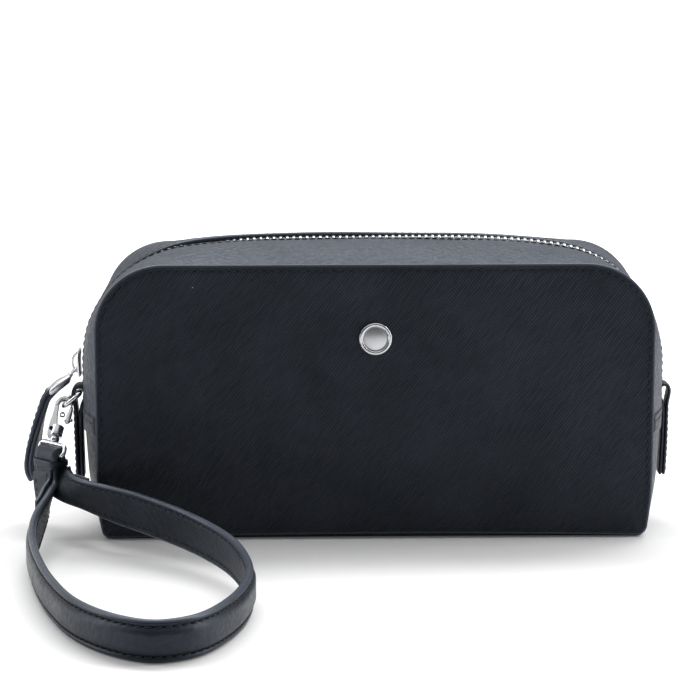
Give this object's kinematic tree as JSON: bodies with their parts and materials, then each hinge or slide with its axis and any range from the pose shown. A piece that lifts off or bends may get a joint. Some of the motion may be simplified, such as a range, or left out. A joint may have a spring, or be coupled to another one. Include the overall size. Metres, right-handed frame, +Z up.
{
  "type": "zipped leather wash pouch",
  "caption": "Boxy zipped leather pouch for make-up or toiletries, with end tabs, a leather zip puller, and a wrist strap on a swivel trigger clasp.",
  "frame": {"origin": "centre of the base's underside, on the surface the pouch stands on", "axes": "+X to the pouch's right along its length, +Y to its back, +Z up; the wrist strap lies in front at -Y on the left"},
  "size_m": [0.2321, 0.1996, 0.1041],
  "materials": {
    "panel_leather": "cross-grain print, satin",
    "gusset_leather": "fine grain, satin",
    "strap_leather": "fine grain with painted edges, satin",
    "lining_cloth": "plain woven, matte",
    "zip_tape": "woven tape, matte",
    "zip_metal": "bright metal teeth",
    "polished_metal": "polished",
    "spring_steel": "plain",
    "board": "plain fibre board",
    "emblem_rim": "polished",
    "emblem_satin": "satin"
  },
  "bodies": {
    "pouch": {"lower_gusset": "gusset_leather", "base_board": "board", "lower_lining": "lining_cloth", "front_panel_lower": "panel_leather", "back_panel_lower": "panel_leather", "left_tab": "strap_leather", "right_tab": "strap_leather", "zip_bottom_stop": "zip_metal"},
    "front_lip": {"front_panel_upper": "panel_leather", "front_gusset_strip": "gusset_leather", "front_zip_tape": "zip_tape", "front_zip_teeth": "zip_metal", "front_zip_top_stop": "zip_metal", "front_lining_upper": "lining_cloth", "emblem_ring": "emblem_rim", "emblem_face": "emblem_satin"},
    "back_lip": {"back_panel_upper": "panel_leather", "back_gusset_strip": "gusset_leather", "back_zip_tape": "zip_tape", "back_zip_teeth": "zip_metal", "back_zip_top_stop": "zip_metal", "back_lining_upper": "lining_cloth"},
    "slider": {"slider_body": "polished_metal", "slider_bridge": "polished_metal"},
    "puller": {"puller_link": "polished_metal", "puller_ferrule": "polished_metal", "puller_tab": "strap_leather"},
    "ring": {"tab_ring": "polished_metal"},
    "clasp": {"clasp_hook": "polished_metal", "clasp_gate_pin": "spring_steel", "clasp_spring": "spring_steel"},
    "gate": {"clasp_gate": "polished_metal"},
    "swivel": {"clasp_swivel": "polished_metal"},
    "strap": {"wrist_strap": "strap_leather", "strap_keeper": "strap_leather"}
  },
  "joints": [
    {"name": "mouth_front", "type": "hinge", "parent": "pouch", "child": "front_lip", "pos_m": [0, -0.029, 0.0445], "axis": [1, 0, 0], "range_deg": [0, 20]},
    {"name": "mouth_back", "type": "hinge", "parent": "pouch", "child": "back_lip", "pos_m": [0, 0.029, 0.0445], "axis": [1, 0, 0], "range_deg": [-20, 0]},
    {"name": "slider_run", "type": "hinge", "parent": "front_lip", "child": "slider", "pos_m": [-0.0605, 0, 0.0585], "axis": [0, 1, 0], "range_deg": [0, 80]},
    {"name": "puller_swing", "type": "hinge", "parent": "slider", "child": "puller", "pos_m": [-0.10575, 0, 0.0564], "axis": [0, 1, 0], "range_deg": [0, 80]},
    {"name": "ring_swing", "type": "hinge", "parent": "pouch", "child": "ring", "pos_m": [-0.1048, 0, 0.0479], "axis": [0, 1, 0], "range_deg": [0, 10]},
    {"name": "clasp_swing", "type": "hinge", "parent": "ring", "child": "clasp", "pos_m": [-0.1104, -0.0045, 0.0433], "axis": [0, 1, 0], "range_deg": [-2, 20]},
    {"name": "gate_press", "type": "hinge", "parent": "clasp", "child": "gate", "pos_m": [-0.109, -0.00733, 0.03863], "axis": [0.1523, -0.8238, 0.546], "range_deg": [0, 8], "stiffness_Nm_per_rad": 0.02, "springref_deg": -5.73},
    {"name": "swivel_turn", "type": "hinge", "parent": "clasp", "child": "swivel", "pos_m": [-0.11306, -0.0113, 0.03378], "axis": [-0.2213, -0.5668, -0.7936], "range_deg": [-8, 20]},
    {"name": "strap_swing", "type": "hinge", "parent": "swivel", "child": "strap", "pos_m": [-0.1145, -0.015, 0.0286], "axis": [-0.6702, 0.7422, 0], "range_deg": [0, 50]}
  ],
  "couplings": [
    {"joint": "mouth_back", "follows": "mouth_front", "ratio": -1}
  ]
}
